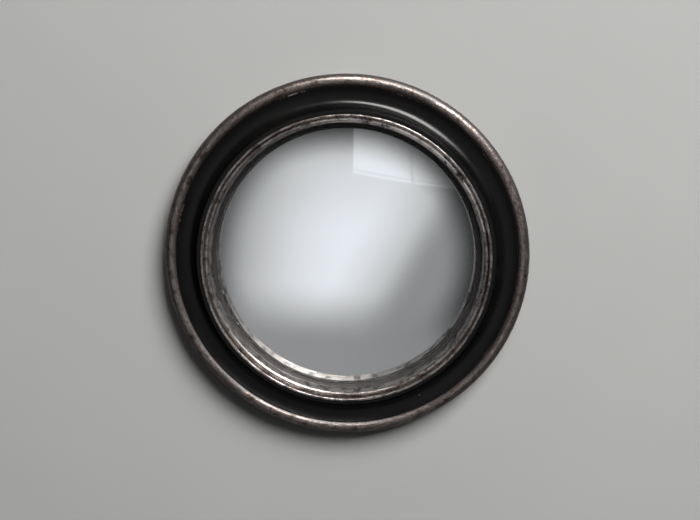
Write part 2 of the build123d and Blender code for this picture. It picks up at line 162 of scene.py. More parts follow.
# =====================================================================
# node helpers
# =====================================================================
class Mat:
    """Small builder for a procedural material."""

    def __init__(self, name):
        self.m = bpy.data.materials.new(name)
        self.m.use_nodes = True
        self.t = self.m.node_tree
        self.t.nodes.clear()
        self.out = self.t.nodes.new("ShaderNodeOutputMaterial")
        self.p = self.t.nodes.new("ShaderNodeBsdfPrincipled")
        self.t.links.new(self.p.outputs[0], self.out.inputs[0])
        self.tc = self.t.nodes.new("ShaderNodeTexCoord")

    def link(self, a, b):
        self.t.links.new(a, b)

    def node(self, kind, **kw):
        n = self.t.nodes.new(kind)
        for k, v in kw.items():
            setattr(n, k, v)
        return n

    def coord(self, scale=(1, 1, 1), loc=(0, 0, 0), src=None):
        n = self.node("ShaderNodeMapping")
        n.inputs["Scale"].default_value = scale
        n.inputs["Location"].default_value = loc
        self.link(src or self.tc.outputs["Object"], n.inputs["Vector"])
        return n.outputs["Vector"]

    def noise(self, vec, scale, detail=4, rough=0.55, distort=0.0, lac=2.0):
        n = self.node("ShaderNodeTexNoise")
        n.inputs["Scale"].default_value = scale
        n.inputs["Detail"].default_value = detail
        n.inputs["Roughness"].default_value = rough
        n.inputs["Distortion"].default_value = distort
        n.inputs["Lacunarity"].default_value = lac
        self.link(vec, n.inputs["Vector"])
        return n.outputs["Fac"]

    def voronoi(self, vec, scale, feature="F1", out="Distance", rand=1.0):
        n = self.node("ShaderNodeTexVoronoi", feature=feature)
        n.inputs["Scale"].default_value = scale
        n.inputs["Randomness"].default_value = rand
        self.link(vec, n.inputs["Vector"])
        return n.outputs[out]

    def ramp(self, fac, stops, mode="LINEAR"):
        n = self.node("ShaderNodeValToRGB")
        cr = n.color_ramp
        cr.interpolation = mode
        while len(cr.elements) > 1:
            cr.elements.remove(cr.elements[-1])
        first = True
        for pos, col in stops:
            if not isinstance(col, (tuple, list)):
                col = (col, col, col)
            col = tuple(col) + (1,) if len(col) == 3 else col
            if first:
                e = cr.elements[0]
                e.position = pos
                first = False
            else:
                e = cr.elements.new(pos)
            e.color = col
        self.link(fac, n.inputs["Fac"])
        return n.outputs["Color"]

    def math(self, op, a, b=None, clamp=False):
        n = self.node("ShaderNodeMath", operation=op, use_clamp=clamp)
        for i, v in enumerate((a, b)):
            if v is None:
                continue
            if isinstance(v, (int, float)):
                n.inputs[i].default_value = v
            else:
                self.link(v, n.inputs[i])
        return n.outputs[0]

    def maprange(self, v, a, b, c=0.0, d=1.0, smooth=False):
        n = self.node("ShaderNodeMapRange", clamp=True)
        n.interpolation_type = "SMOOTHSTEP" if smooth else "LINEAR"
        self.link(v, n.inputs["Value"])
        n.inputs["From Min"].default_value = a
        n.inputs["From Max"].default_value = b
        n.inputs["To Min"].default_value = c
        n.inputs["To Max"].default_value = d
        return n.outputs["Result"]

    def mix(self, fac, a, b):
        n = self.node("ShaderNodeMix", data_type="RGBA")
        for sock, v in ((n.inputs[6], a), (n.inputs[7], b)):
            if isinstance(v, (tuple, list)):
                sock.default_value = tuple(v) + ((1,) if len(v) == 3 else ())
            else:
                self.link(v, sock)
        if isinstance(fac, (int, float)):
            n.inputs[0].default_value = fac
        else:
            self.link(fac, n.inputs[0])
        return n.outputs[2]

    def set(self, **kw):
        names = {"color": "Base Color", "metal": "Metallic", "rough": "Roughness",
                 "ior": "IOR", "spec": "Specular IOR Level", "trans": "Transmission Weight",
                 "coat": "Coat Weight", "coat_rough": "Coat Roughness", "sheen": "Sheen Weight",
                 "sheen_rough": "Sheen Roughness", "aniso": "Anisotropic"}
        for k, v in kw.items():
            s = self.p.inputs[names[k]]
            if isinstance(v, (int, float)):
                s.default_value = v
            elif isinstance(v, (tuple, list)):
                s.default_value = tuple(v) + ((1,) if len(v) == 3 else ())
            else:
                self.link(v, s)
        return self

    def bump(self, height, strength=0.3, distance=0.0002, prev=None):
        n = self.node("ShaderNodeBump")
        n.inputs["Strength"].default_value = strength
        n.inputs["Distance"].default_value = distance
        self.link(height, n.inputs["Height"])
        if prev is not None:
            self.link(prev, n.inputs["Normal"])
        self.link(n.outputs[0], self.p.inputs["Normal"])
        return n.outputs[0]

    # radius and depth of the shaded point, in millimetres, and a coordinate
    # that is stretched round the ring and has no seam
    def polar(self, stretch=9.0):
        sep = self.node("ShaderNodeSeparateXYZ")
        self.link(self.tc.outputs["Object"], sep.inputs[0])
        x, y, z = sep.outputs
        r = self.math("SQRT", self.math("ADD", self.math("MULTIPLY", x, x), self.math("MULTIPLY", z, z)))
        rmm = self.math("MULTIPLY", r, 1000.0)
        dmm = self.math("MULTIPLY", y, -1000.0)
        cx = self.math("DIVIDE", x, r)
        cz = self.math("DIVIDE", z, r)
        comb = self.node("ShaderNodeCombineXYZ")
        # x, z: position round the ring on a small circle, so noise is long
        # round the ring; y: across the profile
        self.link(self.math("MULTIPLY", cx, 100.0 / stretch), comb.inputs[0])
        self.link(self.math("MULTIPLY", cz, 100.0 / stretch), comb.inputs[1])
        self.link(self.math("ADD", rmm, dmm), comb.inputs[2])
        return rmm, dmm, comb.outputs[0], (x, y, z)


def give(ob, *mats):
    ob.data.materials.clear()
    for m in mats:
        ob.data.materials.append(m.m if isinstance(m, Mat) else m)
    return ob


# =====================================================================
# materials
# =====================================================================
def black_wood():
    m = Mat("ebonised_wood_wax")
    r, d, ring, _ = m.polar(9.0)
    obj = m.tc.outputs["Object"]
    broad = m.noise(m.coord((1, 1, 1)), 18, 3)
    grain = m.noise(m.coord((1, 1, 6.0)), 120, 5, 0.62, 0.4)
    turning = m.noise(ring, 2.2, 3, 0.5)
    base = m.mix(m.maprange(broad, 0.35, 0.7), (0.0032, 0.0034, 0.0037), (0.0062, 0.0056, 0.0052))
    base = m.mix(m.math("MULTIPLY", m.maprange(grain, 0.60, 0.76), 0.5), base, (0.015, 0.010, 0.007))
    # rub-through near the lip beside the outer bead: red-brown bole and specks of leaf
    lip = m.math("MULTIPLY", m.maprange(r, 111.3, 112.1), m.maprange(d, 13.6, 14.3))
    fleck_n = m.noise(m.coord((1, 1, 1)), 420, 4, 0.6)
    fleck = m.maprange(fleck_n, 0.50, 0.60)
    patch = m.maprange(m.noise(m.coord((1, 1, 1), (3, 1, 2)), 22, 3), 0.56, 0.66)
    sepz = m.node("ShaderNodeSeparateXYZ")
    m.link(obj, sepz.inputs[0])
    upper = m.maprange(sepz.outputs[2], 0.0, 0.05, 0.15, 1.0)
    rub = m.math("MULTIPLY", m.math("MULTIPLY", lip, upper), m.math("MULTIPLY", fleck, patch))
    speck_v = m.voronoi(m.coord((1, 1, 1), (0.5, 0, 0.2)), 150, "F1")
    speck_gate = m.maprange(m.noise(m.coord((1, 1, 1), (8, 3, 1)), 26, 2), 0.60, 0.68)
    speck = m.math("MULTIPLY", m.maprange(speck_v, 0.10, 0.06), speck_gate)
    speck = m.math("MULTIPLY", speck, m.maprange(r, 96.0, 97.5))
    silver = m.math("MAXIMUM", rub, speck, clamp=True)
    col = m.mix(silver, base, (0.30, 0.265, 0.24))
    # dry brown wear on the outside and back edges
    edge = m.math("MULTIPLY", m.maprange(r, 113.5, 115.9), m.maprange(m.noise(m.coord(), 60, 4), 0.42, 0.62))
    col = m.mix(m.math("MULTIPLY", edge, 0.7), col, (0.035, 0.018, 0.011))
    dust = m.maprange(m.noise(m.coord(), 9, 4), 0.35, 0.8)
    m.set(color=col, metal=m.math("MULTIPLY", silver, 0.9),
          rough=m.math("ADD", m.maprange(m.noise(m.coord(), 40, 4), 0.3, 0.7, 0.20, 0.30), m.math("MULTIPLY", dust, 0.05)),
          spec=0.105)
    h = m.math("ADD", m.math("MULTIPLY", turning, 0.5), m.math("MULTIPLY", grain, 0.35))
    h = m.math("ADD", h, m.math("MULTIPLY", silver, 0.5))
    m.bump(h, 0.22, 0.00012)
    return m


def leaf(name, seed, rub_lo, rub_hi, dark=1.0, bevel=False):
    """Silver leaf over red-brown bole, rubbed and aged. Leaf survives on the
    crowns; the bole and a near-black patina show in the hollows and in flakes."""
    m = Mat(name)
    r, d, ring, _ = m.polar(7.0)
    big = m.noise(m.coord((1, 1, 1), (seed, 0, 0)), 26, 4, 0.6)
    mid = m.noise(m.coord((1, 1, 1), (0, seed, 0)), 150, 5, 0.68, 0.5)
    fine = m.noise(m.coord((1, 1, 1), (0, 0, seed)), 620, 4, 0.65)
    streak = m.noise(ring, 1.6, 5, 0.65, 0.3)
    n = m.math("ADD", m.math("MULTIPLY", mid, 0.5), m.math("MULTIPLY", fine, 0.3))
    n = m.math("ADD", n, m.math("MULTIPLY", streak, 0.2))
    return m, r, d, n, big, mid, fine, streak


def outer_bead_leaf():
    m, r, d, n, big, mid, fine, streak = leaf("silver_leaf_outer", 1.7, 0, 0)
    # across the bead: crown near r 116.4; bole shows towards the outside edge
    crown = m.maprange(m.math("ABSOLUTE", m.math("SUBTRACT", r, 116.0)), 3.9, 1.0, 0.0, 1.0, True)
    keep = m.math("ADD", m.math("MULTIPLY", crown, 0.22), m.math("SUBTRACT", n, 0.15))
    keep = m.math("ADD", keep, m.math("MULTIPLY", m.math("SUBTRACT", big, 0.5), 0.55))
    leafm = m.maprange(keep, 0.45, 0.56)
    tone = m.maprange(streak, 0.3, 0.7)
    silver = m.mix(tone, (0.050, 0.039, 0.036), (0.19, 0.165, 0.155))
    silver = m.mix(m.maprange(mid, 0.50, 0.66), silver, (0.030, 0.022, 0.017))
    silver = m.mix(m.math("MULTIPLY", m.maprange(fine, 0.42, 0.34), 0.8), silver, (0.014, 0.009, 0.008))
    bole = m.mix(m.maprange(fine, 0.4, 0.65), (0.012, 0.008, 0.007), (0.052, 0.026, 0.021))
    col = m.mix(leafm, bole, silver)
    m.set(color=col, metal=m.maprange(leafm, 0, 1, 0.0, 0.92),
          rough=m.math("ADD", m.maprange(leafm, 0, 1, 0.48, 0.36), m.math("MULTIPLY", m.math("SUBTRACT", mid, 0.5), 0.25)),
          spec=0.4)
    h = m.math("ADD", m.math("MULTIPLY", n, 1.0), m.math("MULTIPLY", leafm, 0.35))
    m.bump(h, 0.45, 0.00030)
    return m


def slip_leaf():
    m, r, d, n, big, mid, fine, streak = leaf("silver_leaf_slip", 4.1, 0, 0)
    # ridge (r > 93) and bead (89.5 to 92.9): leafed and rubbed; the quirk between
    # them and the ridge's sides keep more of the dark bole; the bevel is thin, dull
    # leaf gone grey
    ridge = m.math("MULTIPLY", m.maprange(r, 92.7, 93.0), m.maprange(d, 19.5, 20.6))
    beadc = m.maprange(m.math("ABSOLUTE", m.math("SUBTRACT", r, 91.6)), 2.3, 1.7, 0.0, 1.0, True)
    beadc = m.math("MULTIPLY", beadc, m.maprange(d, 19.0, 20.2))
    bevel = m.math("MULTIPLY", m.maprange(r, 90.0, 89.4), m.maprange(d, 13.6, 13.8))
    side = m.math("MULTIPLY", m.math("MULTIPLY", m.maprange(d, 14.9, 15.5), m.maprange(r, 90.0, 89.5)), m.maprange(m.noise(m.coord((1, 1, 1), (6, 2, 4)), 130, 4, 0.65, 0.5), 0.40, 0.50))
    wear = m.noise(m.coord((1, 1, 1), (2, 7, 5)), 46, 5, 0.68, 0.6)
    zone = m.math("MAXIMUM", ridge, beadc)
    keep = m.math("ADD", m.math("MULTIPLY", zone, 0.27), m.math("SUBTRACT", n, 0.22))
    keep = m.math("ADD", keep, m.math("MULTIPLY", m.math("SUBTRACT", big, 0.5), 0.45))
    keep = m.math("ADD", keep, m.math("MULTIPLY", m.math("SUBTRACT", wear, 0.5), 0.50))
    leafm = m.math("MULTIPLY", m.maprange(keep, 0.45, 0.55), m.maprange(zone, 0.03, 0.2))
    tone = m.maprange(m.math("ADD", m.math("MULTIPLY", streak, 0.6), m.math("MULTIPLY", wear, 0.4)), 0.36, 0.66)
    silver = m.mix(tone, (0.095, 0.080, 0.073), (0.31, 0.285, 0.27))
    silver = m.mix(m.maprange(mid, 0.52, 0.68), silver, (0.045, 0.032, 0.026))
    silver = m.mix(m.math("MULTIPLY", m.maprange(fine, 0.42, 0.34), 0.8), silver, (0.014, 0.009, 0.008))
    # painted light: the leaf is made lighter towards the upper right, standing in for
    # light that the higher ridge keeps off the bead; not wear
    sepd = m.node("ShaderNodeSeparateXYZ")
    m.link(m.tc.outputs["Object"], sepd.inputs[0])
    toward = m.math("ADD", m.math("MULTIPLY", sepd.outputs[0], 0.5), m.math("MULTIPLY", sepd.outputs[2], 0.866))
    painted_light_mask = m.math("MULTIPLY", m.maprange(toward, 0.048, 0.086, 0.0, 0.92, True), m.maprange(r, 93.35, 93.1))
    painted_light_silver = m.mix(tone, (0.34, 0.30, 0.275), (0.86, 0.80, 0.75))
    painted_light_silver = m.mix(m.math("MULTIPLY", m.maprange(mid, 0.56, 0.66), 0.7), painted_light_silver, (0.10, 0.075, 0.065))
    # painted highlight: the lighter leaf tone mixed in along the upper right
    silver = m.mix(painted_light_mask, silver, painted_light_silver)
    bole = m.mix(m.maprange(fine, 0.4, 0.65), (0.010, 0.007, 0.006), (0.050, 0.027, 0.021))
    dark = m.mix(m.maprange(fine, 0.45, 0.7), (0.006, 0.006, 0.006), (0.016, 0.012, 0.011))
    base = m.mix(m.math("MULTIPLY", m.maprange(zone, 0.0, 0.35), 0.85), dark, bole)
    # bevel: brushed grey with darker streaks along the slope
    brushed = m.math("ADD", m.math("MULTIPLY", streak, 0.5), m.math("MULTIPLY", m.noise(m.coord((1, 1, 1), (5, 5, 1)), 210, 4, 0.6), 0.5))
    grey = m.mix(m.maprange(brushed, 0.38, 0.62), (0.012, 0.011, 0.0125), (0.045, 0.043, 0.046))
    base = m.mix(bevel, base, grey)
    # the lip nearest the glass has kept only a dark patina
    lip = m.math("MULTIPLY", m.maprange(r, 88.45, 88.25), m.maprange(d, 13.6, 13.8))
    base = m.mix(lip, base, m.mix(m.maprange(brushed, 0.38, 0.62), (0.010, 0.009, 0.009), (0.030, 0.028, 0.027)))
    base = m.mix(side, base, (0.18, 0.173, 0.166))
    col = m.mix(leafm, base, silver)
    # raw gesso on the back, where it faces the felt
    back = m.math("MULTIPLY", m.maprange(d, 13.62, 13.52), m.maprange(r, 92.0, 91.6))
    col = m.mix(back, col, (0.24, 0.23, 0.22))
    met = m.math("MAXIMUM", m.maprange(leafm, 0, 1, 0.0, 0.94), m.math("MULTIPLY", bevel, 0.85))
    met = m.math("MULTIPLY", met, m.math("SUBTRACT", 1.0, back))
    rough = m.math("ADD", m.maprange(leafm, 0, 1, 0.38, 0.30), m.math("MULTIPLY", m.math("SUBTRACT", mid, 0.5), 0.22))
    rough = m.math("MAXIMUM", rough, m.math("MULTIPLY", m.math("MULTIPLY", bevel, m.math("SUBTRACT", 1.0, m.math("MAXIMUM", leafm, side))), 0.47))
    rough = m.math("ADD", rough, m.math("MULTIPLY", lip, 0.06))
    m.set(color=col, metal=met, rough=rough, spec=0.35)
    h = m.math("ADD", m.math("MULTIPLY", n, 1.0), m.math("MULTIPLY", leafm, 0.4))
    h = m.math("ADD", h, m.math("MULTIPLY", wear, 0.6))
    m.bump(h, 0.50, 0.00032)
    return m


def glass_mat():
    m = Mat("clear_glass")
    # faint uneven surface of bent glass
    n = m.noise(m.coord(), 7, 2, 0.4)
    m.set(color=(0.985, 0.995, 0.99), trans=1.0, ior=1.5,
          rough=m.maprange(m.noise(m.coord(), 30, 3), 0.3, 0.8, 0.0, 0.012))
    m.bump(n, 0.04, 0.0004)
    return m


def silver_mat():
    m = Mat("silver_film")
    # tarnish that creeps in from the rim, and a few faint specks
    r, d, ring, _ = m.polar(7.0)
    rim = m.maprange(r, 84.5, 90.5, 0.0, 1.0, True)
    foxing = m.math("MULTIPLY", rim, m.maprange(m.noise(m.coord(), 90, 4), 0.4, 0.62))
    col = m.mix(m.math("MULTIPLY", foxing, 0.55), (0.90, 0.905, 0.915), (0.42, 0.40, 0.37))
    m.set(color=col, metal=1.0, rough=m.maprange(m.noise(m.coord(), 14, 4), 0.3, 0.75, 0.035, 0.06))
    return m


def felt_mat(name, a, b):
    m = Mat(name)
    fib = m.noise(m.coord((1, 1, 1)), 900, 5, 0.7, 1.2)
    blot = m.noise(m.coord(), 60, 3)
    m.set(color=m.mix(fib, a, b), rough=m.maprange(blot, 0.3, 0.7, 0.86, 0.97), spec=0.2, sheen=0.25, sheen_rough=0.5)
    m.bump(fib, 0.6, 0.0003)
    return m


def board_mat():
    m = Mat("hardboard")
    fib = m.noise(m.coord((1, 1, 1)), 260, 6, 0.72, 1.6)
    fleck = m.voronoi(m.coord((1, 1, 1)), 420, "F1")
    cloud = m.noise(m.coord(), 11, 4)
    col = m.mix(m.maprange(fib, 0.3, 0.7), (0.150, 0.083, 0.042), (0.245, 0.145, 0.078))
    col = m.mix(m.math("MULTIPLY", m.maprange(cloud, 0.4, 0.7), 0.45), col, (0.120, 0.066, 0.034))
    col = m.mix(m.math("MULTIPLY", m.maprange(fleck, 0.16, 0.06), 0.35), col, (0.42, 0.30, 0.18))
    m.set(color=col, rough=m.maprange(cloud, 0.3, 0.7, 0.42, 0.58), spec=0.4)
    m.bump(fib, 0.35, 0.00012)
    return m


def metal_mat(name, base, dark, rough, wear=0.5, scale=(1, 1, 1)):
    m = Mat(name)
    br = m.noise(m.coord(scale), 480, 4, 0.6)
    spots = m.noise(m.coord(), 170, 5, 0.65)
    cloud = m.noise(m.coord(), 55, 3)
    col = m.mix(m.math("MULTIPLY", m.maprange(spots, 0.50, 0.72), wear), base, dark)
    col = m.mix(m.math("MULTIPLY", cloud, 0.25), col, tuple(0.75 * c for c in base))
    m.set(color=col, metal=m.maprange(spots, 0.5, 0.8, 1.0, 0.75),
          rough=m.math("ADD", m.maprange(cloud, 0.3, 0.7, rough, rough + 0.12), m.math("MULTIPLY", spots, 0.08)))
    m.bump(br, 0.25, 0.00005)
    return m


def rubber_mat():
    m = Mat("bumper_rubber")
    g = m.noise(m.coord(), 700, 4, 0.6)
    dust = m.noise(m.coord(), 130, 4)
    col = m.mix(m.maprange(dust, 0.45, 0.75), (0.016, 0.016, 0.017), (0.060, 0.057, 0.052))
    m.set(color=col, rough=m.maprange(g, 0.3, 0.7, 0.62, 0.80), spec=0.35)
    m.bump(g, 0.35, 0.00008)
    return m


M_black = black_wood()
M_outer = outer_bead_leaf()
M_slip = slip_leaf()
M_glass = glass_mat()
M_silver = silver_mat()
M_felt = felt_mat("grey_felt", (0.13, 0.127, 0.125), (0.28, 0.275, 0.27))
M_pack = felt_mat("grey_packing_felt", (0.16, 0.155, 0.145), (0.34, 0.33, 0.31))
M_board = board_mat()
M_zinc = metal_mat("zinc_plate_steel", (0.60, 0.60, 0.585), (0.27, 0.25, 0.22), 0.30, 0.5, (1, 1, 7))
M_screw = metal_mat("screw_steel", (0.56, 0.545, 0.50), (0.20, 0.17, 0.13), 0.28, 0.55)
M_wire = metal_mat("nickel_wire", (0.66, 0.655, 0.64), (0.34, 0.31, 0.27), 0.20, 0.35)
M_rubber = rubber_mat()

# =====================================================================
# turned ring
# =====================================================================
def ring_profile():
    fr, fd, out_rho, in_rho, neck = 104.8, 13.2, 17.0, 6.5, 2.0
    a1, a2 = math.radians(60), math.radians(78)
    c1 = (fr, fd + in_rho)
    n1 = (c1[0] - in_rho * math.sin(a1), c1[1] - in_rho * math.cos(a1))
    c2 = (n1[0] + neck * math.sin(a1), n1[1] + neck * math.cos(a1))
    n2 = (c2[0] - neck * math.sin(a2), c2[1] - neck * math.cos(a2))
    wt = (n2[0] - (23.1 - n2[1]) * math.cos(a2) / math.sin(a2), 23.1)
    lip_r = 112.1
    lip_d = fd + out_rho - math.sqrt(out_rho ** 2 - (lip_r - fr) ** 2)
    p = [(95.0, 4.0), (115.2, 4.0), (115.75, 4.25), (116.0, 4.8), (116.0, 9.8), (112.6, 9.8), (112.6, lip_d - 0.45),
         (112.53, lip_d - 0.17), (112.36, lip_d - 0.02), (lip_r, lip_d)]
    # gentle outer side of the cove, down to its floor
    for i in range(1, 21):
        x = lip_r + (fr - lip_r) * i / 20
        p.append((x, fd + out_rho - math.sqrt(out_rho ** 2 - (x - fr) ** 2)))
    for i in range(1, 21):
        a = a1 * i / 20
        p.append((c1[0] - in_rho * math.sin(a), c1[1] - in_rho * math.cos(a)))
    for i in range(1, 9):
        a = a1 + (a2 - a1) * i / 8
        p.append((c2[0] - neck * math.sin(a), c2[1] - neck * math.cos(a)))
    for i in range(1, 9):
        p.append((n2[0] + (wt[0] - n2[0]) * i / 8, n2[1] + (wt[1] - n2[1]) * i / 8))
    p += [(wt[0] - 0.05, 23.32), (wt[0] - 0.17, 23.45), (wt[0] - 0.35, 23.5), (96.2, 23.5), (95.1, 23.5),
          (95.1, 14.8), (91.7, 14.8), (91.7, 6.8), (95.0, 6.8)]
    return p


def ring_wobble(T, R, D):
    front = np.clip((D - 10.5) / 2.0, 0, 1) * np.clip((112.4 - R) / 1.5, 0, 1) * np.clip((R - 98.6) / 1.5, 0, 1)
    a = value_noise_ring(T, (2, 3, 5, 8, 13), 11, 0.05)
    b = value_noise_ring(T, (4, 7, 11, 17, 29), 12, 0.025)
    return a * front, (a * 0.6 + b) * front


ring = lathe("frame_ring_turned", ring_profile(), 576, ring_wobble, 30)


def cutters():
    """Hook pocket, pin recesses and screw holes in the ring's back, as one mesh."""
    bm = bmesh.new()

    def prism(cx, cz, pts, y0, y1):
        a = [bm.verts.new(((cx + x) * MM, y0 * MM, (cz + z) * MM)) for x, z in pts]
        b = [bm.verts.new(((cx + x) * MM, y1 * MM, (cz + z) * MM)) for x, z in pts]
        n = len(pts)
        bm.faces.new(a)
        bm.faces.new(list(reversed(b)))
        for i in range(n):
            bm.faces.new((a[i], b[i], b[(i + 1) % n], a[(i + 1) % n]))

    w, h, q = 4.4, 3.0, 1.6
    pts = []
    for cx, cz, a0 in ((w - q, h - q, 0), (-w + q, h - q, 90), (-w + q, -h + q, 180), (w - q, -h + q, 270)):
        for i in range(7):
            a = math.radians(a0 + 15 * i)
            pts.append((cx + q * math.cos(a), cz + q * math.sin(a)))
    prism(0, 109.3, pts, -3.0, -7.9)

    def circle(r, n):
        return [(r * math.cos(2 * math.pi * i / n), r * math.sin(2 * math.pi * i / n)) for i in range(n)]

    for k in range(8):
        a = math.radians(22.5 + 45 * k)
        prism(114.4 * math.cos(a), 114.4 * math.sin(a), circle(1.16, 28), -3.0, -4.62)
    for a in (45, 135, 225, 315):
        prism(101 * math.cos(math.radians(a)), 101 * math.sin(math.radians(a)), circle(1.95, 28), -3.0, -6.0)
    prism(0, 99.9, circle(1.95, 28), -3.0, -6.0)
    bmesh.ops.recalc_face_normals(bm, faces=bm.faces)
    me = bpy.data.meshes.new("cut")
    bm.to_mesh(me)
    bm.free()
    ob = bpy.data.objects.new("cut", me)
    SC.collection.objects.link(ob)
    return ob


def apply_boolean(ob, cut):
    mod = ob.modifiers.new("cut", "BOOLEAN")
    mod.operation = "DIFFERENCE"
    mod.solver = "EXACT"
    mod.object = cut
    bpy.context.view_layer.update()
    dg = bpy.context.evaluated_depsgraph_get()
    me = bpy.data.meshes.new_from_object(ob.evaluated_get(dg))
    ob.modifiers.remove(mod)
    old = ob.data
    ob.data = me
    bpy.data.meshes.remove(old)
    bpy.data.objects.remove(cut)
    me.polygons.foreach_set("use_smooth", [True] * len(me.polygons))
    me.set_sharp_from_angle(angle=math.radians(30))


apply_boolean(ring, cutters())
give(ring, M_black)
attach(ring, "mirror")
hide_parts("frame_ring")

# =====================================================================
# outer bead
# =====================================================================
def bead_profile():
    cr, cd, rho = 115.7, 12.1, 4.3
    # round part from the ring's side, over the crown, down to the planed inner side
    a_start = -math.degrees(math.acos((116.1 - cr) / rho))  # where it meets the ring's side
    a_end = math.degrees(math.acos((112.7 - cr) / rho))
    pts = arc(cr, cd, rho, a_start, a_end, 76)
    pts += [(112.7, 14.4), (112.7, 9.8), (114.0, 9.8), (116.1, 9.8)]
    return pts


def bead_wobble(T, R, D):
    crown = np.clip((D - 10.5) / 3.0, 0, 1)
    a = value_noise_ring(T, (2, 3, 5, 9), 21, 0.05)
    b = value_noise_ring(T, (14, 23, 37, 61), 22, 0.03)
    c = value_noise_ring(T + R * 0.05, (90, 130, 170), 23, 0.012)
    return -np.abs(a + b) * crown * 0.8, (a * 0.7 + b + c) * crown


bead = lathe("outer_bead_leaf", bead_profile(), 720, bead_wobble, 40)
give(bead, M_outer)
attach(bead, "mirror")
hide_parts("outer_bead")

# =====================================================================
# inner slip: ridge, quirk, bead, bevel
# =====================================================================
def slip_profile():
    sr, br, bd, rho, q = 86.0, 91.6, 19.6, 2.0, 1.5
    p = [(sr, 14.0), (sr, 13.7), (sr + 0.3, 13.5), (91.5, 13.5), (91.5, 14.8), (95.0, 14.8), (95.0, 24.4)]
    p += arc(94.6, 24.4, 0.4, 0, 90, 6)[1:]
    p += [(94.3, 24.82), (93.8, 24.8)]
    p += [(93.6, 24.75), (93.4, 24.6), (93.3, 24.3)]
    qd = bd + math.sqrt(rho ** 2 - q ** 2)
    for i in range(1, 9):
        t = i / 8
        p.append((93.3 + (br + q - 93.3) * t, 24.3 + (qd - 24.3) * t))
    a0 = math.degrees(math.atan2(qd - bd, q))
    p += arc(br, bd, rho, a0, 180 - a0, 30)[1:]
    p += [(br - q - 0.12, qd - 0.16), (br - q - 0.3, qd - 0.45)]
    x0, d0 = br - q - 0.3, qd - 0.45
    for i in range(1, 10):
        t = i / 10
        p.append((x0 + (88.6 - x0) * t, d0 + (15.3 - d0) * t))
    p += [(88.6, 15.3), (88.5, 15.08), (88.34, 14.89), (88.14, 14.75), (87.9, 14.66)]
    for i in range(1, 5):
        t = i / 5
        p.append((87.9 + (sr - 87.9) * t, 14.66 + (14.0 - 14.66) * t))
    return p


def slip_wobble(T, R, D):
    up = np.clip((D - 15.2) / 3.0, 0, 1) * np.clip((94.9 - R) / 0.5, 0.0, 1)
    a = value_noise_ring(T, (2, 3, 4, 7), 31, 0.05)
    b = value_noise_ring(T, (19, 31, 47, 71), 32, 0.030)
    c = value_noise_ring(T, (110, 150, 190), 33, 0.016)
    return (a * 0.4 + b * 0.8) * up, (a + b + c) * up


slip = lathe("inner_slip_leaf", slip_profile(), 720, slip_wobble, 34)
give(slip, M_slip)
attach(slip, "mirror")
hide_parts("inner_slip")

# =====================================================================
# domed glass, silver film, felt and packing
# =====================================================================
def dome_line(R, rim, n=96):
    return [(rim * i / n, dome_d(rim * i / n, R)) for i in range(n + 1)]


front = dome_line(GLASS_R, GLASS_RIM - 0.35) + [(GLASS_RIM - 0.1, dome_d(GLASS_RIM, GLASS_R) - 0.03), (GLASS_RIM, dome_d(GLASS_RIM, GLASS_R) - 0.3)]
back = dome_line(GLASS_R - GLASS_T, GLASS_RIM - 0.25) + [(GLASS_RIM, dome_d(GLASS_RIM, GLASS_R - GLASS_T) + 0.25)]
pane = lathe_disc("mirror_glass_pane", front, back, 384, 50)
give(pane, M_glass)
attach(pane, "mirror")
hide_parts("mirror_glass")

film = lathe_disc("mirror_silver_film", dome_line(GLASS_R - GLASS_T - 0.03, 90.6), dome_line(GLASS_R - GLASS_T - 0.30, 90.6), 384, 50)
give(film, M_silver)
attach(film, "mirror")
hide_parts("mirror_silvering")


def fuzzy(seed, amp):
    def f(T, R, D):
        g = value_noise_ring(T, (40, 71, 97, 133), seed, amp)
        return -np.abs(g), 0 * D
    return f


FELT_NODE = "glass_felt" if "glass_felt" in NODES else "glass_cushion"
felt = lathe("glass_felt_strip", densify([(87.05, 13.46), (91.15, 13.46), (91.15, dome_d(91.0, GLASS_R) + 0.08), (87.05, dome_d(87.0, GLASS_R) + 0.08)], 0.6), 360, fuzzy(5, 0.03))
give(felt, M_felt)
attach(felt, "mirror")
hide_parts(FELT_NODE)

pack = lathe("packing_felt_ring", densify([(86.65, 6.84), (91.15, 6.84), (91.15, dome_d(91.2, GLASS_R - GLASS_T - 0.33) - 0.12), (86.65, dome_d(86.6, GLASS_R - GLASS_T - 0.33) - 0.12)], 0.7), 360, fuzzy(6, 0.03))
give(pack, M_pack)
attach(pack, "mirror")
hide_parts("packing_ring")

# =====================================================================
# backing board
# =====================================================================
def board_lines():
    f = [(0, 6.78), (40, 6.78), (80, 6.78), (94.4, 6.78), (94.62, 6.6)]
    b = [(0, 4.2)] + [(r, 4.2 + 0.05 * math.sin(r * 0.09)) for r in (20, 40, 60, 75, 88)] + [(93.9, 4.2), (94.35, 4.28), (94.62, 4.55)]
    return f, b


board = lathe_disc("backing_hardboard", *board_lines(), 288, 40)
give(board, M_board)
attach(board, "mirror")
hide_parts("backing_board")

# =====================================================================
# hardware: the CAD shapes stay, with better materials and eased edges
# =====================================================================
def ease(ob, width=0.00012, seg=2):
    b = ob.modifiers.new("ease", "BEVEL")
    b.width = width
    b.segments = seg
    b.limit_method = "ANGLE"
    b.angle_limit = math.radians(40)
    b.harden_normals = False


for name, mat, w in ([(f"turn_button_{i}", M_zinc, 0.00014) for i in (1, 2, 3, 4)]
                     + [("turn_button_screws", M_screw, 0.00012), ("slip_pins", M_screw, 0.0001),
                        ("bead_pins", M_screw, 0.0001), ("hanger_strap", M_zinc, 0.00012),
                        ("hanger_ring", M_wire, 0), ("hanger_screw", M_screw, 0.0001),
                        ("wall_bumpers", M_rubber, 0.0001)]):
    ob = NODES[name]
    give(ob, mat)
    if w:
        ease(ob, w)

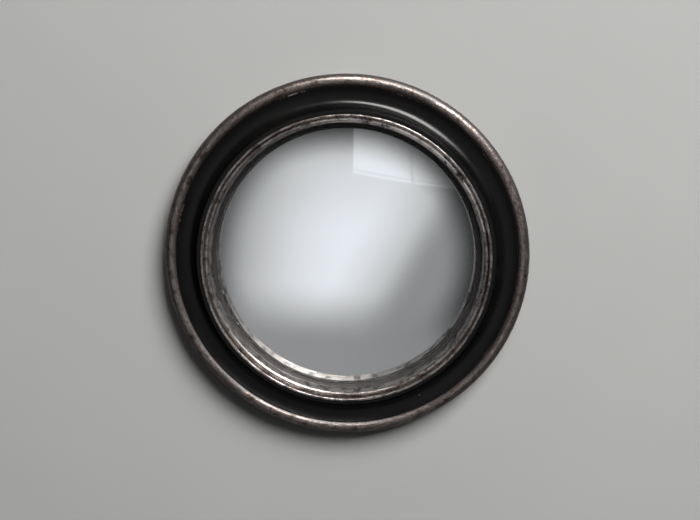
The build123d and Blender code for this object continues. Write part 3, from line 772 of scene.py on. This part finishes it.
# =====================================================================
# wall, floor, light, camera
# =====================================================================
def plane(name, co, mat):
    me = bpy.data.meshes.new(name)
    me.from_pydata(co, [], [(0, 1, 2, 3)])
    ob = bpy.data.objects.new(name, me)
    SC.collection.objects.link(ob)
    ob.data.materials.append(mat)
    ob.visible_glossy = name == "stage_wall"
    ob.visible_transmission = name == "stage_wall"
    ob.visible_diffuse = name == "stage_wall"
    return ob


def wall_material():
    m = Mat("wall_paint")
    n = m.noise(m.coord(), 5, 4)
    fine = m.noise(m.coord(), 420, 4, 0.6)
    m.set(color=m.mix(n, (0.60, 0.605, 0.595), (0.66, 0.662, 0.65)), rough=0.9, spec=0.15)
    m.bump(fine, 0.10, 0.0002)
    geo = m.node("ShaderNodeNewGeometry")
    clear = m.node("ShaderNodeBsdfTransparent")
    sh = m.node("ShaderNodeMixShader")
    m.link(geo.outputs["Backfacing"], sh.inputs[0])
    m.link(m.p.outputs[0], sh.inputs[1])
    m.link(clear.outputs[0], sh.inputs[2])
    m.link(sh.outputs[0], m.out.inputs[0])
    return m.m


M_wall = wall_material()
# the wall faces -Y; from behind it is clear, so the back of the mirror can be seen
wall = plane("stage_wall", [(-2.2, 0.0004, -1.2), (2.2, 0.0004, -1.2), (2.2, 0.0004, 1.8), (-2.2, 0.0004, 1.8)], M_wall)
wall.visible_shadow = False
M_floor = wall_material()
floor = plane("stage_floor", [(-2.2, -3.0, -1.2), (2.2, -3.0, -1.2), (2.2, 3.0, -1.2), (-2.2, 3.0, -1.2)], M_floor)


def area(name, direction, dist, size_x, size_y, radiance, color=(1, 1, 1), roll=0.0, target=(0, 0, 0)):
    """Rectangular lamp at a distance in a direction from the mirror; radiance is
    what a mirror would show of it."""
    d = Vector(direction).normalized()
    L = bpy.data.lights.new(name, "AREA")
    L.shape = "RECTANGLE"
    L.size, L.size_y = size_x, size_y
    L.energy = radiance * math.pi * size_x * size_y
    L.color = color
    ob = bpy.data.objects.new(name, L)
    SC.collection.objects.link(ob)
    ob.location = Vector(target) + d * dist
    q = d.to_track_quat("Z", "Y")
    ob.rotation_mode = "QUATERNION"
    ob.rotation_quaternion = q @ Matrix.Rotation(roll, 4, "Z").to_quaternion()
    return ob


def sph(off_axis, azim):
    """Direction off_axis degrees from the mirror's axis, at an azimuth counted
    anticlockwise from the viewer's right."""
    a, b = math.radians(off_axis), math.radians(azim)
    return (math.sin(a) * math.cos(b), -math.cos(a), math.sin(a) * math.sin(b))


# broad soft key from the upper right; kept out of the mirror, which shows the
# window drawn in the room instead
key = area("key_soft", sph(50, 59), 2.6, 1.4, 1.4, 11.6, (1.0, 0.995, 0.985))
key.visible_glossy = False
key.visible_transmission = False
wide = area("key_wide", sph(40, 62), 2.6, 3.2, 3.0, 0.07, (1.0, 0.99, 0.975))
wide.visible_glossy = False
wide.visible_transmission = False

# upper panes of the window, beyond what the dome can show: the highlights on the
# beads and the streak in the cove
DIST = 2.6
c = Vector(sph(53.0, 60))
right = Vector((0, 0, 1)).cross(c).normalized()
up = c.cross(right).normalized()
pw, ph, gap = 0.42, 0.50, 0.04
for i in range(5):
    for j in range(2):
        if (i, j) in ((0, 0), (4, 0)):
            continue
        o = c * DIST + right * ((i - 2) * (pw + gap)) + up * ((j - 0.5) * (ph + gap))
        L = area(f"window_{i}_{j}", c, DIST, pw, ph, (125.0, 92.0, 74.0, 64.0, 40.0)[i], (1.0, 0.975, 0.955))
        L.location = o
        L.visible_diffuse = False

# weak lamps behind the wall, which light only the back views
for k, (dx, dz) in enumerate(((1.3, 1.2), (-1.4, 0.9), (0.2, 1.9))):
    area(f"back_{k}", (dx, 2.2, dz), 2.6, 1.4, 1.0, 4.5, (1, 1, 1))


def build_world():
    """The room the dome looks at: a pale wall lit from the left with a shaded
    right side, a mid grey floor, and a window high on the right."""
    w = bpy.data.worlds.new("room")
    SC.world = w
    w.use_nodes = True
    t = w.node_tree
    t.nodes.clear()
    out = t.nodes.new("ShaderNodeOutputWorld")
    bg = t.nodes.new("ShaderNodeBackground")
    tc = t.nodes.new("ShaderNodeTexCoord")
    t.links.new(bg.outputs[0], out.inputs[0])
    sep = t.nodes.new("ShaderNodeSeparateXYZ")
    t.links.new(tc.outputs["Generated"], sep.inputs[0])
    X, Y, Z = sep.outputs

    def put(sock, v):
        if isinstance(v, (int, float)):
            sock.default_value = v
        else:
            t.links.new(v, sock)

    def math_(op, a, b=0.0):
        n = t.nodes.new("ShaderNodeMath")
        n.operation = op
        put(n.inputs[0], a)
        put(n.inputs[1], b)
        return n.outputs[0]

    def step(v, a, b, lo=0.0, hi=1.0):
        n = t.nodes.new("ShaderNodeMapRange")
        n.clamp = True
        n.interpolation_type = "SMOOTHSTEP"
        put(n.inputs["Value"], v)
        for k, x in (("From Min", a), ("From Max", b), ("To Min", lo), ("To Max", hi)):
            n.inputs[k].default_value = x
        return n.outputs["Result"]

    def mixf(f, a, b):
        return math_("ADD", math_("MULTIPLY", a, math_("SUBTRACT", 1.0, f)), math_("MULTIPLY", b, f))

    def prod(*v):
        o = v[0]
        for x in v[1:]:
            o = math_("MULTIPLY", o, x)
        return o

    # slanting light across the far wall
    zc = math_("ADD", Z, 0.09)
    slant_r = math_("SUBTRACT", X, math_("MULTIPLY", zc, 0.58))
    slant_l = math_("SUBTRACT", X, math_("MULTIPLY", zc, 0.12))
    fl = math_("DIVIDE", math_("MINIMUM", slant_l, 0.0), 0.74)
    left_side = math_("MAXIMUM", math_("SUBTRACT", 1.0, prod(fl, fl)), 0.0)
    right_side = math_("SUBTRACT", 1.0, math_("POWER", math_("MINIMUM", math_("DIVIDE", math_("MAXIMUM", slant_r, 0.0), 0.66), 1.0), 1.25))
    far = prod(left_side, right_side, 0.93)
    far = prod(far, step(Z, 0.62, 0.26), step(Z, 0.34, -0.08, 0.82, 1.0))
    # the far wall's corners and ends fall away into shade
    zz = math_("ADD", Z, 0.15)
    rho = math_("ADD", math_("SQRT", math_("ADD", prod(X, X), prod(zz, zz))), math_("MULTIPLY", X, 0.10))
    rim = step(rho, 0.70, 0.49)
    ends_low = prod(step(X, -0.76, -0.56), step(X, 0.66, 0.34))
    far = mixf(step(slant_r, 0.26, 0.50), far, 0.27)
    far = prod(far, rim)
    ground = prod(step(X, -0.2, 0.6, 0.285, 0.235), ends_low)
    body = mixf(step(math_("ADD", Z, math_("MULTIPLY", X, 0.08)), -0.31, -0.63), far, ground)
    # window: panes with slender bars, its foot just above the horizon
    foot_line = math_("SUBTRACT", 0.270, math_("MULTIPLY", X, 0.20))
    side = step(X, -0.004, 0.004)
    above = math_("SUBTRACT", Z, foot_line)
    bar_1 = step(math_("ABSOLUTE", math_("SUBTRACT", math_("ADD", X, math_("MULTIPLY", Z, 0.10)), 0.335)), 0.003, 0.008, 0.80, 1.0)
    bar_2 = step(math_("ABSOLUTE", math_("SUBTRACT", above, 0.022)), 0.003, 0.008, 0.86, 1.0)
    fade = step(rho, 0.68, 0.47, 0.06, 1.0)
    glowing = prod(math_("ADD", 0.96, math_("MULTIPLY", step(above, 0.03, 0.0), 0.03)), bar_1, bar_2, fade)
    body = mixf(prod(side, step(above, 0.0, 0.010), 0.85), body, glowing)
    # everything behind the mirror's plane is a plain grey room
    behind = step(Y, -0.12, 0.25)
    body = mixf(behind, body, 0.32)
    # outside the far wall the room is dim
    body = math_("ADD", body, 0.02)

    lp = t.nodes.new("ShaderNodeLightPath")
    body = mixf(prod(lp.outputs["Is Diffuse Ray"], math_("SUBTRACT", 1.0, behind)), body, prod(body, 0.06))
    # seen directly, past the wall from behind, the room is a plain grey backdrop
    body = mixf(lp.outputs["Is Camera Ray"], body, 0.40)
    comb = t.nodes.new("ShaderNodeMix")
    comb.data_type = "RGBA"
    put(comb.inputs[0], step(body, 0.55, 0.95))
    comb.inputs[6].default_value = (0.985, 0.985, 1.0, 1)
    comb.inputs[7].default_value = (0.955, 0.97, 1.02, 1)
    t.links.new(comb.outputs[2], bg.inputs["Color"])
    t.links.new(body, bg.inputs["Strength"])
    return w


build_world()

cam_data = bpy.data.cameras.new("camera")
cam = bpy.data.objects.new("camera", cam_data)
SC.collection.objects.link(cam)
CAM_DIST = 0.90
tilt, azi = math.radians(11.3), math.radians(80)
ring_c = Vector((0, -0.0128, 0))
cdir = Vector((math.sin(tilt) * math.cos(azi), -math.cos(tilt), math.sin(tilt) * math.sin(azi)))
cam.location = ring_c + cdir * CAM_DIST
q = cdir.to_track_quat("Z", "Y")
# aim a little below and right of the ring's centre, as the ring sits high in the picture
rx = q @ Vector((1, 0, 0))
ry = q @ Vector((0, 1, 0))
px = 0.120 / 182.4
cam.location += rx * (3.45 * px) - ry * (2.7 * px)
cam.rotation_mode = "QUATERNION"
cam.rotation_quaternion = q
cam_data.sensor_width = 36.0
cam_data.lens = (1 / (px * 1000)) * 36.0 / 700.0 * CAM_DIST * 1000
cam_data.clip_start = 0.01
SC.camera = cam

SC.view_settings.view_transform = "Standard"
SC.view_settings.look = "None"
SC.cycles.max_bounces = 10
SC.cycles.transmission_bounces = 8
SC.cycles.glossy_bounces = 6
SC.cycles.caustics_reflective = True
SC.cycles.caustics_refractive = True

bpy.context.view_layer.update()
